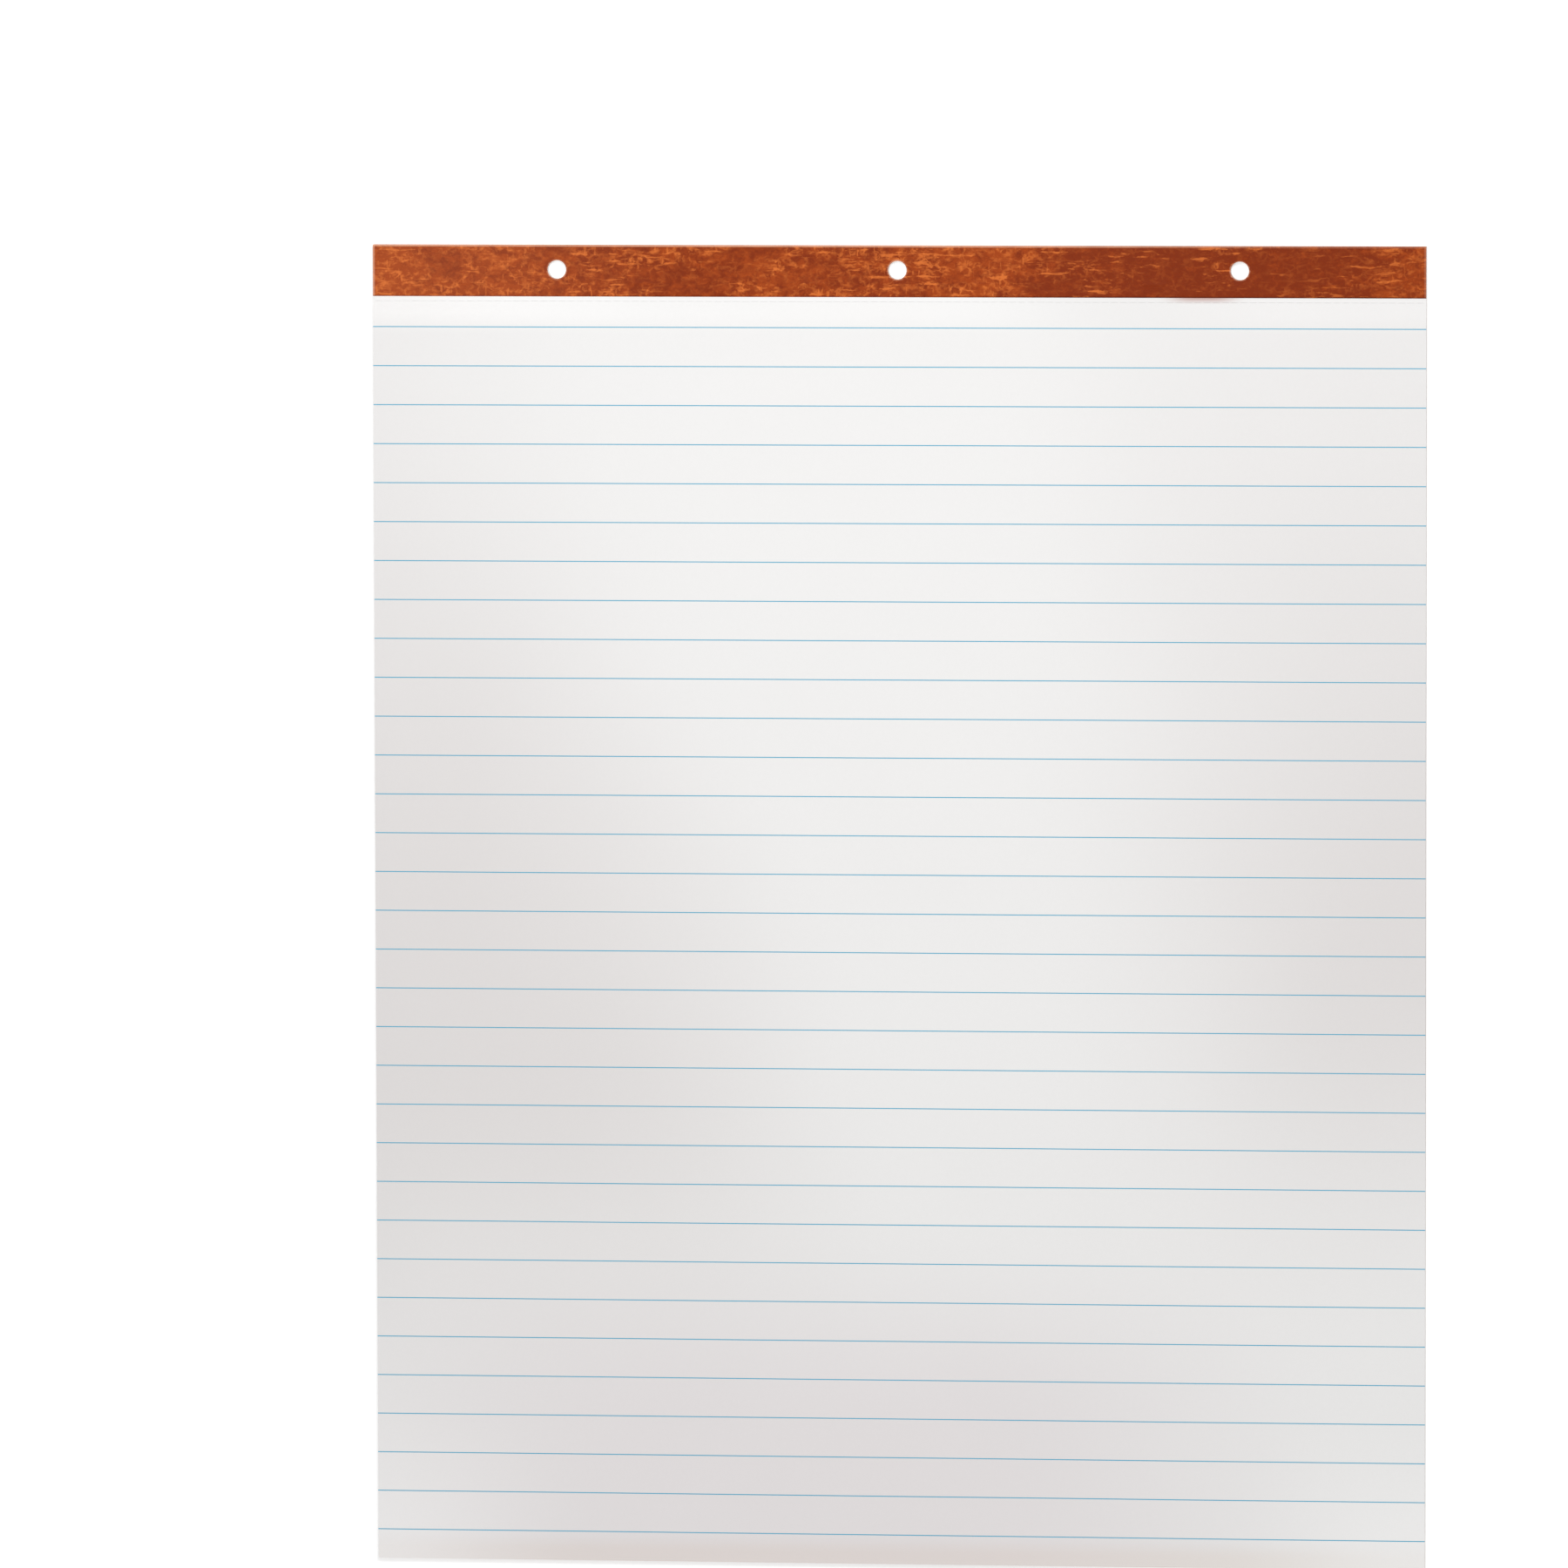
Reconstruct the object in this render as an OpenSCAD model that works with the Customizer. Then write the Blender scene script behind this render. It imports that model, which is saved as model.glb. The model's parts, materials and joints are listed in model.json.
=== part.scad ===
// Easel pad lying on its back: a punched block of ruled sheets on a chipboard back,
// wire-stitched along the head and bound in a folded leatherette strip.
// +Z leaves the writing face, +Y runs to the bound head, and the origin is the
// centre of the footprint on the surface that the pad lies on. Millimetres.

/* [Pad] */
// Width of the pad
pad_w = 685.8; // [520:0.1:1000]
// Length of the pad, from the folded head to the free edge
pad_l = 860; // [400:0.1:1200]

/* [Sheets] */
// Number of sheets in the block
sheet_count = 50; // [20:1:100]
// Thickness of one sheet and the air that it traps
sheet_t = 0.09; // [0.06:0.01:0.2]
// Farthest that a sheet's free edge falls short of the trimmed length
edge_stagger = 0.6; // [0.05:0.05:1.5]
// Farthest that a sheet's side edge falls short of the trimmed width
side_stagger = 0.12; // [0.01:0.01:0.4]

/* [Backboard] */
// Thickness of the chipboard
board_t = 0.8; // [0.5:0.05:2]

/* [Binding strip] */
// Thickness of the leatherette
strip_t = 0.3; // [0.15:0.01:0.8]
// Width of the strip that shows on the front
strip_front = 33.5; // [31:0.5:60]
// Width of the strip that is turned down on the back
strip_back = 32; // [31:0.5:60]

/* [Hanging holes] */
// Number of holes in the head
hole_count = 3; // [1:1:3]
// Diameter of each hole
hole_d = 12; // [6:0.1:13]
// Distance between the centres of neighbouring holes
hole_pitch = 222.25; // [100:0.05:245]
// Distance from the folded head to the centres of the holes
hole_inset = 16; // [10:0.1:23]

/* [Tear line] */
// Distance from the strip's front edge to the line of cuts
tear_gap = 3; // [1.5:0.1:8]
// Length of one cut
tear_cut = 4.5; // [2:0.1:8]
// Length of the paper tie that is left between two cuts
tear_tie = 1.5; // [0.8:0.1:4]
// Width of one cut
tear_w = 0.25; // [0.1:0.01:0.5]

/* [Ruling] */
// Distance between two ruled lines
rule_pitch = 25.4; // [12:0.1:50.8]
// Distance from the strip's front edge to the first line
rule_head = 19.9; // [12:0.1:60]
// Least distance from the last line to the free edge
rule_foot = 15; // [5:0.5:60]
// Width of a ruled line
rule_w = 0.6; // [0.2:0.05:1.5]
// Height of the printed line above the paper
rule_t = 0.05; // [0.02:0.01:0.1]

/* [Wire stitches] */
// Distance from the folded head to the row of stitches
stitch_inset = 25; // [14:0.5:28]
// Least distance from the outermost stitch to the pad's side
stitch_edge = 25; // [5:1:60]
// Length of a stitch's crown, over its legs
stitch_crown = 13; // [12.5:0.5:20]
// Length of each leg that is turned over under the board
stitch_clinch = 4.5; // [2:0.1:6]
// Width of the flattened wire
stitch_w = 0.7; // [0.4:0.05:1.2]
// Thickness of the flattened wire
stitch_t = 0.45; // [0.3:0.01:0.5]
// Outer radius of the bends in the wire
stitch_bend = 1; // [0.6:0.05:1.2]

/* [Hidden] */
$fn = 64;
eps = 1; // how far a cutter runs past the face that it cuts

// Heights of the layers above the surface that the pad lies on
board_z = strip_t;
block_z = board_z + board_t;
block_t = sheet_count * sheet_t;
face_z = block_z + block_t;
pad_t = face_z + strip_t;

// Places along the pad, from the free edge at the foot to the fold at the head
foot_y = -pad_l / 2;
fold_y = pad_l / 2;
head_y = fold_y - strip_t;
hole_y = fold_y - hole_inset;
stitch_y = fold_y - stitch_inset;
front_y = fold_y - strip_front;
back_y = fold_y - strip_back;
tear_y = front_y - tear_gap;
first_rule_y = front_y - rule_head;

// How many cuts, lines and stitches there is room for.
// The stitches lie in pairs about the centre, a quarter of the way from hole to hole.
tear_pitch = tear_cut + tear_tie;
tear_count = floor((pad_w - tear_tie) / tear_pitch);
rule_count = 1 + floor((first_rule_y - foot_y - rule_foot) / rule_pitch);
stitch_pitch = hole_pitch / 2;
stitch_reach = pad_w / 2 - stitch_edge - stitch_crown / 2;
stitch_count = 2 * floor(stitch_reach / stitch_pitch + 0.5);

// Centres of n things spaced evenly about x = 0
function row(n, pitch) = [for (i = [0:n - 1]) (i - (n - 1) / 2) * pitch];

// How far the sheet that is k sheets down from the top lies back from the trimmed edge,
// from 0 to 1: each sheet wanders by itself, and the top one is flush
function wander(k) = abs(sin(137.5 * k));
function sheet_foot(k) = foot_y + edge_stagger * wander(k);
function sheet_side(k) = pad_w / 2 - side_stagger * wander(2 * k);

// Height of the face between the sheets that are k - 1 and k sheets down
function level(k) = block_z + (sheet_count - k) * sheet_t;

module hanging_holes() {
    for (x = row(hole_count, hole_pitch))
        translate([x, hole_y, -eps])
            cylinder(h = pad_t + 2 * eps, d = hole_d);
}

// A rectangle on the X axis, with rounded corners
module rounded_rectangle(width, height, radius) {
    translate([-width / 2, radius])
        square([width, height - 2 * radius]);
    translate([radius - width / 2, 0])
        square([width - 2 * radius, height]);
    for (x = [radius - width / 2, width / 2 - radius], z = [radius, height - radius])
        translate([x, z])
            circle(r = radius);
}

// A stitch seen from the foot: its crown on the top sheet, its legs down through the block
// and the board, and both ends turned in under the board
module stitch_profile() {
    height = face_z - board_z;
    difference() {
        rounded_rectangle(stitch_crown, height, stitch_bend);
        translate([0, stitch_t])
            rounded_rectangle(stitch_crown - 2 * stitch_t, height - 2 * stitch_t, stitch_bend - stitch_t);
        translate([stitch_clinch - stitch_crown / 2, -eps])
            square([stitch_crown - 2 * stitch_clinch, height / 2 + eps]);
    }
}

module stitches() {
    color("silver")
        for (x = row(stitch_count, stitch_pitch))
            translate([x, stitch_y + stitch_w / 2, board_z])
                rotate([90, 0, 0])
                    linear_extrude(height = stitch_w)
                        stitch_profile();
}

module backboard() {
    color("tan")
        difference() {
            translate([-pad_w / 2, foot_y, board_z])
                cube([pad_w, head_y - foot_y, board_t]);
            hanging_holes();
            stitches();
        }
}

// The block seen from its side, with one step for each sheet at the foot
module block_side_profile() {
    feet = [for (k = [0:sheet_count - 1]) for (edge = [k, k + 1]) [sheet_foot(k), level(edge)]];
    polygon(concat(feet, [[head_y, block_z], [head_y, face_z]]));
}

// The block seen from its foot, with one step for each sheet at both sides
module block_foot_profile() {
    right = [for (k = [0:sheet_count - 1]) for (edge = [k, k + 1]) [sheet_side(k), level(edge)]];
    left = [for (i = [len(right) - 1:-1:0]) [-right[i].x, right[i].y]];
    polygon(concat(right, left));
}

module block() {
    intersection() {
        translate([-pad_w / 2 - eps, 0, 0])
            rotate([90, 0, 90])
                linear_extrude(height = pad_w + 2 * eps)
                    block_side_profile();
        translate([0, fold_y, 0])
            rotate([90, 0, 0])
                linear_extrude(height = pad_l + eps)
                    block_foot_profile();
    }
}

// The row of cuts along which a sheet tears off below the strip
module tear_line() {
    for (x = row(tear_count, tear_pitch))
        translate([x - tear_cut / 2, tear_y - tear_w / 2, block_z - eps])
            cube([tear_cut, tear_w, block_t + 2 * eps]);
}

module sheets() {
    color("white")
        difference() {
            block();
            hanging_holes();
            stitches();
            tear_line();
        }
}

// The strip seen along its fold: two flaps and a spine that rounds both corners
module strip_profile() {
    difference() {
        union() {
            translate([front_y, face_z])
                square([head_y - front_y, strip_t]);
            translate([back_y, 0])
                square([head_y - back_y, strip_t]);
            translate([head_y, board_z])
                square([strip_t, face_z - board_z]);
            for (z = [board_z, face_z])
                translate([head_y, z])
                    circle(r = strip_t);
        }
        translate([head_y - 2 * strip_t, board_z])
            square([2 * strip_t, face_z - board_z]);
    }
}

module binding_strip() {
    color("sienna")
        difference() {
            translate([-pad_w / 2, 0, 0])
                rotate([90, 0, 90])
                    linear_extrude(height = pad_w)
                        strip_profile();
            hanging_holes();
        }
}

module ruled_lines() {
    color("lightblue")
        for (i = [0:rule_count - 1])
            translate([-sheet_side(0), first_rule_y - i * rule_pitch - rule_w / 2, face_z])
                cube([2 * sheet_side(0), rule_w, rule_t]);
}

backboard();
sheets();
binding_strip();
stitches();
ruled_lines();
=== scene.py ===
import json
import math

import bpy
from bpy.props import FloatProperty, FloatVectorProperty, IntProperty, PointerProperty
from mathutils import Matrix, Vector
from mathutils.geometry import delaunay_2d_cdt


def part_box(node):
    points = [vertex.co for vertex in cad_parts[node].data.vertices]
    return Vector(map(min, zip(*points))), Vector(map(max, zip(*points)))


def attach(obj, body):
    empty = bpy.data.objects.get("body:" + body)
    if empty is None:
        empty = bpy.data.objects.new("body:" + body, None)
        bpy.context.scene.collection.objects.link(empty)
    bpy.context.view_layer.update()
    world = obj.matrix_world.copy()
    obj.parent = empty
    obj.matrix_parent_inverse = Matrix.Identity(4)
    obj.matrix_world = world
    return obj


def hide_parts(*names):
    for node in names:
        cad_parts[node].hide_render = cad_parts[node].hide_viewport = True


bl_info = {
    "name": "Easel pad",
    "version": (1, 0, 0),
    "blender": (4, 5, 0),
    "location": "3D View > Sidebar > Easel pad",
    "description": "Dresses an easel pad: sheets, ruling, binding strip, backboard, stitches and stage",
    "category": "Object",
}

# The pad lies on its back: +Z leaves the writing face and +Y runs to the bound head.
# Lengths are in metres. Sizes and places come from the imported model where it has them.
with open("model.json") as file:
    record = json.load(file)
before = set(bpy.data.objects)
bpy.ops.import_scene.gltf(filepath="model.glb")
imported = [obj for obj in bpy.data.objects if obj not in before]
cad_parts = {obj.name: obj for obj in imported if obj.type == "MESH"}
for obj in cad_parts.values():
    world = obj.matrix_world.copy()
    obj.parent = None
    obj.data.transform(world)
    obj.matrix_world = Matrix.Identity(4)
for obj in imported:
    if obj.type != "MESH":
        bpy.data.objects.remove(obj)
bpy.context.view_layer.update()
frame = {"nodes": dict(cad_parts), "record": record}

BODY = "root"
SHEETS_LOW, SHEETS_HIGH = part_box("sheets")
STRIP_LOW, STRIP_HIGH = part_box("binding_strip")
RULES_LOW, RULES_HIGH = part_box("ruled_lines")
STITCHES_LOW, STITCHES_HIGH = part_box("stitches")
HOLES = [mount for mount in frame["record"]["mounts"] if mount["kind"] == "bore"]

HALF_WIDTH = SHEETS_HIGH.x
FOOT_Y, HEAD_Y = SHEETS_LOW.y, SHEETS_HIGH.y
BLOCK_Z, FACE_Z = SHEETS_LOW.z, SHEETS_HIGH.z
STRIP_Y = STRIP_LOW.y
TOP_Z = STRIP_HIGH.z
STRIP_THICKNESS = TOP_Z - FACE_Z
HOLE_RADIUS = HOLES[0]["dims"]["r_mm"] / 1000
HOLE_CENTRES = [Vector(mount["pos_m"][:2]) for mount in HOLES]
HOLE_PITCH = HOLE_CENTRES[1].x - HOLE_CENTRES[0].x
STITCH_Y = (STITCHES_LOW.y + STITCHES_HIGH.y) / 2
TOUCH = 1e-6  # two places closer than this are the same place

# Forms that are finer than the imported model's
HELD_FLAT, COMES_FREE = 0.012, 0.09  # how far below the strip the sheets lie flat, then begin to swell
FOOT_REACH, SIDE_REACH = 0.018, 0.012  # how far the pressed foot and sides reach in from the trim
LEFT_CURL, RIGHT_CURL = 0.040, 0.030  # how far the curl reaches from each foot corner
PUCKER_WIDTH, PUCKER_LENGTH = 0.12, 0.022  # the part of the top sheet that is puckered
PUCKER_ALONG, PUCKER_ACROSS = 880, 350  # the ripples along and across the sheet, in radians a metre
STITCH_REACH = 0.0018  # how far round a stitch the strip is lifted
RIM_DEPTH = 0.00008  # how far the strip's cut edges are pressed down
RIM_INSETS = (0.0, 0.00025, 0.0007)  # the rows of points along a cut edge, as far as it is pressed

# The slow waves in the top sheets: share of the swell, direction, length and phase
SLOW_WAVES = (
    (0.5, (0.90, 0.42), 0.245, 0.6),
    (0.3, (0.25, -1.0), 0.190, 2.1),
    (0.2, (0.70, 0.75), 0.118, 4.0),
)

# Distances between the points of a flat sheet: in its middle, near its sides, and across the strip
COARSE, FINE, STRIP_STEP = 0.0125, 0.004, 0.006


def linear(red, green, blue):
    """A colour written as it looks on a screen, from 0 to 255, as linear light."""
    levels = [channel / 255 for channel in (red, green, blue)]
    return tuple(
        level / 12.92 if level <= 0.04045 else ((level + 0.055) / 1.055) ** 2.4 for level in levels)


class PaperSettings(bpy.types.PropertyGroup):
    sheet_count: IntProperty(name="Sheets", description="Number of sheets in the pad", default=50, min=3)
    foot_stagger: FloatProperty(
        name="Foot stagger",
        description="Farthest that a sheet's free edge falls short of the trimmed length",
        default=0.0003, min=0, precision=5, unit="LENGTH")
    side_stagger: FloatProperty(
        name="Side stagger",
        description="Farthest that a sheet's side falls short of the trimmed width",
        default=0.00008, min=0, precision=5, unit="LENGTH")
    swell: FloatProperty(
        name="Swell", description="Height of the slow waves in the top sheets",
        default=0.00026, min=0, precision=5, unit="LENGTH")
    foot_drop: FloatProperty(
        name="Foot drop", description="How far the block is pressed down at its trimmed foot",
        default=0.0004, min=0, precision=5, unit="LENGTH")
    corner_lift: FloatProperty(
        name="Corner lift", description="How far the top sheet's left foot corner curls up",
        default=0.00015, min=0, precision=5, unit="LENGTH")
    pucker: FloatProperty(
        name="Pucker", description="Height of the ripples in the top sheet by the strip's left end",
        default=0.00026, min=0, precision=5, unit="LENGTH")
    tear_gap: FloatProperty(
        name="Tear gap", description="Distance from the strip to the line of cuts",
        default=0.003, min=0, precision=4, unit="LENGTH")
    tear_cut: FloatProperty(
        name="Tear cut", description="Length of one cut", default=0.0045, min=0, precision=4, unit="LENGTH")
    tear_tie: FloatProperty(
        name="Tear tie", description="Length of the paper between two cuts",
        default=0.0015, min=0, precision=4, unit="LENGTH")
    tear_width: FloatProperty(
        name="Cut width", description="Width of one cut",
        default=0.00008, min=0, precision=5, unit="LENGTH")
    colour: FloatVectorProperty(
        name="Paper", description="Colour of the bond paper", subtype="COLOR",
        default=linear(239, 238, 237))
    # Painted shade along the sides: its tint, darker and a little warmer
    darkened: FloatVectorProperty(
        name="Darkened", description="Tint of the paper where it has aged along its sides", subtype="COLOR",
        default=(0.88, 0.857, 0.855))
    # Painted shade above the foot: its tint
    foot_shade: FloatVectorProperty(
        name="Shaded", description="Tint of the paper where it is shaded at its foot", subtype="COLOR",
        default=(0.93, 0.9, 0.91))


class RulingSettings(bpy.types.PropertyGroup):
    count: IntProperty(name="Lines", description="Number of ruled lines", default=32, min=2)
    width: FloatProperty(
        name="Line width", description="Width of a ruled line",
        default=0.0006, min=0, precision=5, unit="LENGTH")
    height: FloatProperty(
        name="Ink height", description="Height of the ink above the paper",
        default=0.00003, min=0, precision=6, unit="LENGTH")
    colour: FloatVectorProperty(
        name="Ink", description="Colour of the ruled lines", subtype="COLOR", default=linear(84, 172, 203))


class StripSettings(bpy.types.PropertyGroup):
    back_width: FloatProperty(
        name="Back width", description="Width of the flap on the back", default=0.032, min=0, unit="LENGTH")
    stitch_count: IntProperty(
        name="Stitches", description="Number of stitches under the strip", default=6, min=0)
    stitch_length: FloatProperty(
        name="Stitch length", description="Length of a stitch's crown", default=0.013, min=0, unit="LENGTH")
    bump: FloatProperty(
        name="Stitch bump", description="How far a stitch shows through the strip",
        default=0.00009, min=0, precision=6, unit="LENGTH")
    base: FloatVectorProperty(
        name="Base", description="Main red-brown of the leatherette", subtype="COLOR",
        default=linear(161, 65, 14))
    dark: FloatVectorProperty(
        name="Dark", description="Dark blotches", subtype="COLOR", default=linear(124, 40, 2))
    light: FloatVectorProperty(
        name="Light", description="Orange mottles and veins", subtype="COLOR",
        default=linear(212, 110, 46))
    # Pale colour of the worn ends and hole rims, and of the painted highlight along the fold
    wear_and_highlight: FloatVectorProperty(
        name="Worn", description="Pale colour of worn folds and rims", subtype="COLOR",
        default=linear(226, 166, 134))
    core: FloatVectorProperty(
        name="Core", description="Colour of the strip's cut edges", subtype="COLOR",
        default=linear(176, 112, 72))


class BoardSettings(bpy.types.PropertyGroup):
    base: FloatVectorProperty(
        name="Chipboard", description="Main colour of the chipboard", subtype="COLOR",
        default=linear(170, 156, 136))
    fleck: FloatVectorProperty(
        name="Flecks", description="Colour of the dark flecks", subtype="COLOR",
        default=linear(96, 82, 68))
    wire: FloatVectorProperty(
        name="Wire", description="Colour of the stitching wire", subtype="COLOR",
        default=(0.55, 0.55, 0.54))


class StageSettings(bpy.types.PropertyGroup):
    lens: FloatProperty(
        name="Lens", description="Focal length on a 36 mm sensor, in millimetres", default=320)
    distance: FloatProperty(
        name="Distance", description="From the camera to the point that it aims at",
        default=9.058, unit="LENGTH")
    aim: FloatVectorProperty(
        name="Aim", description="Point that the camera aims at", subtype="TRANSLATION",
        default=(-0.0746, 0.0799, 0.0056))
    lean_right: FloatProperty(
        name="Lean right", description="How far the camera stands to the right of straight above",
        default=math.radians(6.39), subtype="ANGLE")
    lean_head: FloatProperty(
        name="Lean to the head", description="How far the camera stands towards the head",
        default=math.radians(4.43), subtype="ANGLE")
    roll: FloatProperty(
        name="Roll", description="Turn of the camera about its own axis",
        default=math.radians(0.125), subtype="ANGLE")
    key_power: FloatProperty(
        name="Key lamp", description="Power of the far lamp beyond the head", default=168, min=0)
    head_power: FloatProperty(
        name="Head lamp", description="Power of the near lamp over the head", default=4.7, min=0)
    foot_power: FloatProperty(
        name="Foot lamp", description="Power of the low lamp beyond the foot", default=40, min=0)
    sky: FloatProperty(
        name="Room light", description="Strength of the even light all round", default=0.42, min=0)


class EaselPadSettings(bpy.types.PropertyGroup):
    paper: PointerProperty(type=PaperSettings)
    ruling: PointerProperty(type=RulingSettings)
    strip: PointerProperty(type=StripSettings)
    board: PointerProperty(type=BoardSettings)
    stage: PointerProperty(type=StageSettings)


def settings():
    return bpy.context.scene.easel_pad


# Shader nodes


class Signal:
    """The output of a shader node, with arithmetic that adds Math nodes."""

    def __init__(self, finish, socket):
        self.finish = finish
        self.socket = socket

    def math(self, operation, *values):
        return self.finish.node("ShaderNodeMath", {"operation": operation}, dict(enumerate(values)))

    def __add__(self, other):
        return self.math("ADD", self, other)

    __radd__ = __add__

    def __sub__(self, other):
        return self.math("SUBTRACT", self, other)

    def __rsub__(self, other):
        return self.math("SUBTRACT", other, self)

    def __mul__(self, other):
        return self.math("MULTIPLY", self, other)

    __rmul__ = __mul__

    def __pow__(self, other):
        return self.math("POWER", self, other)

    def __abs__(self):
        return self.math("ABSOLUTE", self)

    def at_least(self, other):
        return self.math("MAXIMUM", self, other)

    def at_most(self, other):
        return self.math("MINIMUM", self, other)

    def ease(self, start, end):
        """0 before start, 1 after end, and a smooth step between them."""
        return self.finish.node(
            "ShaderNodeMapRange", {"interpolation_type": "SMOOTHSTEP"},
            {"Value": self, "From Min": start, "From Max": end})


class Finish:
    """A material, or the world, and the nodes that feed it."""

    def __init__(self, name, kind="materials"):
        self.material = getattr(bpy.data, kind).new(name)
        self.material.use_nodes = True
        self.tree = self.material.node_tree
        self.tree.nodes.clear()
        self.place = self.node("ShaderNodeTexCoord", output="Object")

    def feed(self, socket, value):
        if isinstance(value, Signal):
            self.tree.links.new(value.socket, socket)
        elif hasattr(socket.default_value, "__len__") and len(socket.default_value) == 4:
            socket.default_value = (*value, 1)
        else:
            socket.default_value = value

    def node(self, kind, options=None, inputs=None, output=0):
        """Adds a node of a type: its options first, then the values or links of its sockets.
        Gives one of its outputs, if it has any."""
        made = self.tree.nodes.new(kind)
        for name, value in (options or {}).items():
            setattr(made, name, value)
        for name, value in (inputs or {}).items():
            self.feed(made.inputs[name], value)
        return Signal(self, made.outputs[output]) if len(made.outputs) else None

    def stretched(self, x, y, z, seed=0.0):
        """The object's own coordinates, in features per metre along each axis."""
        return self.node(
            "ShaderNodeVectorMath", {"operation": "MULTIPLY_ADD"},
            {0: self.place, 1: (x, y, z), 2: (0.0, 0.0, seed)})

    def moved(self, place, offset, amount):
        """Coordinates pushed about by another node's colour, for ragged shapes."""
        return self.node(
            "ShaderNodeVectorMath", {"operation": "MULTIPLY_ADD"}, {0: offset, 1: (amount,) * 3, 2: place})

    def noise(self, place, detail=3.0, roughness=0.5, distortion=0.0, output=0):
        shape = {"Scale": 1.0, "Detail": detail, "Roughness": roughness, "Distortion": distortion}
        return self.node("ShaderNodeTexNoise", None, {"Vector": place, **shape}, output)

    def cells(self, place, feature="F1"):
        return self.node("ShaderNodeTexVoronoi", {"feature": feature}, {"Vector": place, "Scale": 1.0})

    def blend(self, factor, first, second, mode="MIX"):
        """A colour between two colours."""
        return self.node(
            "ShaderNodeMix", {"data_type": "RGBA", "blend_type": mode}, {0: factor, 6: first, 7: second}, 2)

    def tint(self, colour, shade):
        """A colour made lighter or darker by a number about 1."""
        return self.node("ShaderNodeVectorMath", {"operation": "SCALE"}, {0: colour, "Scale": shade})

    def axis(self, vector, letter):
        return self.node("ShaderNodeSeparateXYZ", None, {0: vector}, letter)

    def bump(self, height, distance, strength=1.0):
        return self.node(
            "ShaderNodeBump", None, {"Height": height, "Distance": distance, "Strength": strength})

    def seen(self):
        """1 for the rays that show the stage itself, seen straight or in a gloss or through glass."""
        kinds = ("Camera", "Glossy", "Transmission")
        camera, glossy, through = (
            self.node("ShaderNodeLightPath", output=f"Is {kind} Ray") for kind in kinds)
        return camera.at_least(glossy).at_least(through)

    def close(self, shader):
        """Ends the nodes in the material's or the world's output."""
        kind = "World" if isinstance(self.material, bpy.types.World) else "Material"
        self.node(f"ShaderNodeOutput{kind}", None, {"Surface": shader})
        return self.material

    def surface(self, **sockets):
        """Closes the material with a Principled shader; underscores stand for spaces."""
        values = {name.replace("_", " "): value for name, value in sockets.items()}
        return self.close(self.node("ShaderNodeBsdfPrincipled", None, values))


def paper_finish():
    """White bond paper: faint cloudy fibre on the faces, painted shade that is darker and a little warmer
    along its sides and above its foot, a darker and warmer band along the foot edge, painted light at the
    foot corners and above the first line, a tint of the strip's colour just below the strip at one place,
    and fine lines of sheets on the edges."""
    paper = settings().paper
    finish = Finish("bond_paper")
    x, y = finish.axis(finish.place, "X"), finish.axis(finish.place, "Y")
    facing = abs(finish.axis(finish.node("ShaderNodeNewGeometry", output="Normal"), "Z"))
    edge = 1 - facing.ease(0.3, 0.7)

    # Painted shade, darker and a little warmer: deepest along the sides and past the middle, and turned a
    # little across the sheet
    drift = finish.noise(finish.stretched(3.0, 2.2, 0.0, seed=5.0), detail=1)
    outward = abs(x) * (1 / HALF_WIDTH)
    turn = x * (1 - outward) * (y - 0.03) * 10
    side = (abs(x - 0.01) * (1 / HALF_WIDTH) - y * 0.35 + turn + (drift - 0.5) * 0.4).ease(0.12, 0.9)
    darkened = side * (y - x * 0.12).ease(-0.33, -0.06) * (1 - y.ease(-0.02, 0.42) * 0.75)

    # Painted shade over a broad place above the foot, and a narrow band along the foot edge that is darker
    # and warmer
    foot_shade = (1 - y.ease(-0.34, -0.2)) * (1 - abs(x + 0.06).ease(0.1, 0.38))
    corners = abs(x).ease(0.2, 0.345)
    foot_band = (1 - y.ease(FOOT_Y + 0.006, FOOT_Y + 0.019)) * (1 - corners * 0.7)

    cloud = finish.noise(finish.stretched(14, 11, 14), detail=2)
    fibre = finish.noise(finish.stretched(620, 480, 620), detail=4, roughness=0.65)
    face = 1 + (cloud - 0.5) * 0.016 + (fibre - 0.5) * 0.03

    sheets = finish.noise(finish.stretched(4, 4, 9000), detail=1)
    packs = finish.noise(finish.stretched(5, 5, 1300), detail=1)
    lines = 1.03 + (sheets - 0.5) * 0.5 + (packs - 0.5) * 0.2

    shade = face + edge * (lines - face)
    side_shade_colour = [tone * tint for tone, tint in zip(paper.colour, paper.darkened)]
    colour = finish.blend(darkened, tuple(paper.colour), side_shade_colour)
    colour = finish.blend(foot_shade, colour, tuple(paper.foot_shade), "MULTIPLY")
    # Darker and warmer in a narrow band along the foot edge
    foot_band_tint = (0.975, 0.935, 0.9)
    colour = finish.blend(foot_band, colour, foot_band_tint, "MULTIPLY")

    # Painted light, whiter at the foot corners and above the first line; and a tint of the strip's colour
    # just below the strip at one place
    above_line = y.ease(STRIP_Y - 0.026, STRIP_Y - 0.01)
    painted_light_above_line = above_line * ((1 - x.ease(0.02, 0.13)) * 0.57 + abs(x).ease(0.14, 0.27) * 0.6)
    painted_light = corners * (1 - y.ease(FOOT_Y, FOOT_Y + 0.11)) + painted_light_above_line
    strip_tint_below = y.ease(STRIP_Y - 0.0046, STRIP_Y + 0.0008) * (1 - abs(x - 0.198).ease(0.006, 0.03))
    colour = finish.blend(strip_tint_below * 0.6, colour, tuple(settings().strip.base))
    colour = finish.tint(colour, shade * (1 + painted_light * 0.07))
    tooth = finish.noise(finish.stretched(2600, 2200, 2600), detail=3, roughness=0.6)
    return finish.surface(
        Base_Color=colour,
        Roughness=0.82 + (fibre - 0.5) * 0.1,
        Specular_IOR_Level=0.3,
        Normal=finish.bump(tooth * 0.35, distance=0.00004))


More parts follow.
